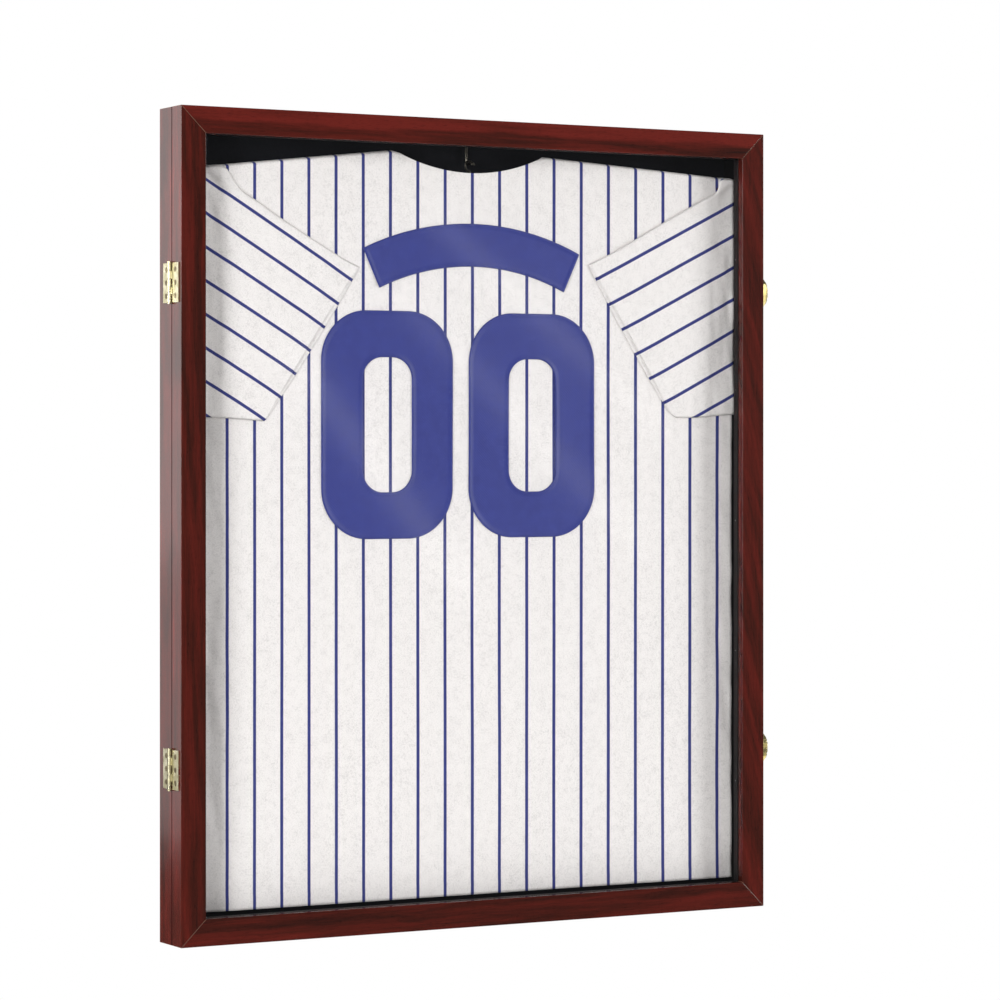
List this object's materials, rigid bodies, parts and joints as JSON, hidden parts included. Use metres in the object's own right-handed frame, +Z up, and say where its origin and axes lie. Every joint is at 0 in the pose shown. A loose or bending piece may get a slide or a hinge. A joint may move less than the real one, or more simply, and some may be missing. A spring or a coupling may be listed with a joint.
{
  "type": "jersey display case",
  "caption": "Wall-hung wooden display case with a hinged clear door, keyed side locks and a jersey on a hanger bar inside.",
  "frame": {"origin": "midway between the round entry holes of the two keyhole hangers, on the plane that rests on the wall", "axes": "+Z up, +Y out of the back into the wall, the door faces -Y, its hinges are at -X and its locks at +X"},
  "size_m": [0.6748, 0.05, 0.8],
  "materials": {
    "mahogany": "glossy lacquer over dark red-brown stain",
    "hardboard": "plain pressed board",
    "felt": "black felt",
    "bumper_rubber": "soft",
    "brass": "polished plate",
    "steel": "zinc plated",
    "acrylic": "clear, polished",
    "jersey_white": "off-white knit with thin blue stripes",
    "jersey_blue": "twill patch"
  },
  "bodies": {
    "case": {"case_rail_top": "mahogany", "case_rail_bottom": "mahogany", "case_rail_left": "mahogany", "case_rail_right": "mahogany", "case_corner_nails": "steel", "back_panel": "hardboard", "felt_lining": "felt", "back_points": "steel", "door_bumpers": "bumper_rubber", "keyhole_plate_left": "brass", "keyhole_plate_right": "brass", "keyhole_screws": "steel", "hanger_peg": "brass", "hinge_leaf_case_upper": "brass", "hinge_leaf_case_lower": "brass", "hinge_pin_upper": "brass", "hinge_pin_lower": "brass", "hinge_screws_case": "brass", "lock_housing_upper": "brass", "lock_housing_lower": "brass", "lock_screws": "steel"},
    "door": {"door_rail_top": "mahogany", "door_rail_bottom": "mahogany", "door_rail_left": "mahogany", "door_rail_right": "mahogany", "door_corner_nails": "steel", "clear_pane": "acrylic", "pane_strip_top": "mahogany", "pane_strip_bottom": "mahogany", "pane_strip_left": "mahogany", "pane_strip_right": "mahogany", "pane_strip_pins": "steel", "hinge_leaf_door_upper": "brass", "hinge_leaf_door_lower": "brass", "hinge_screws_door": "brass", "strike_plate_upper": "brass", "strike_plate_lower": "brass", "strike_screws": "brass"},
    "upper_lock": {"lock_cylinder_upper": "brass", "lock_cam_upper": "steel"},
    "lower_lock": {"lock_cylinder_lower": "brass", "lock_cam_lower": "steel"},
    "hanger": {"hanger_bar": "mahogany", "hanger_hook": "steel", "jersey_body": "jersey_white", "jersey_sleeve_left": "jersey_white", "jersey_sleeve_right": "jersey_white", "jersey_digit_left": "jersey_blue", "jersey_digit_right": "jersey_blue", "jersey_nameplate": "jersey_blue"}
  },
  "joints": [
    {"name": "door_hinge", "type": "hinge", "parent": "case", "child": "door", "pos_m": [-0.3324, -0.0282, -0.36], "axis": [0, 0, -1], "range_deg": [0, 170]},
    {"name": "upper_lock_turn", "type": "hinge", "parent": "case", "child": "upper_lock", "pos_m": [0.33, -0.0142, -0.124], "axis": [1, 0, 0], "range_deg": [0, 90]},
    {"name": "lower_lock_turn", "type": "hinge", "parent": "case", "child": "lower_lock", "pos_m": [0.33, -0.0142, -0.596], "axis": [1, 0, 0], "range_deg": [0, 90]},
    {"name": "hanger_lift", "type": "slide", "parent": "case", "child": "hanger", "axis": [0, 0, 1], "range_m": [0, 0.004]}
  ]
}
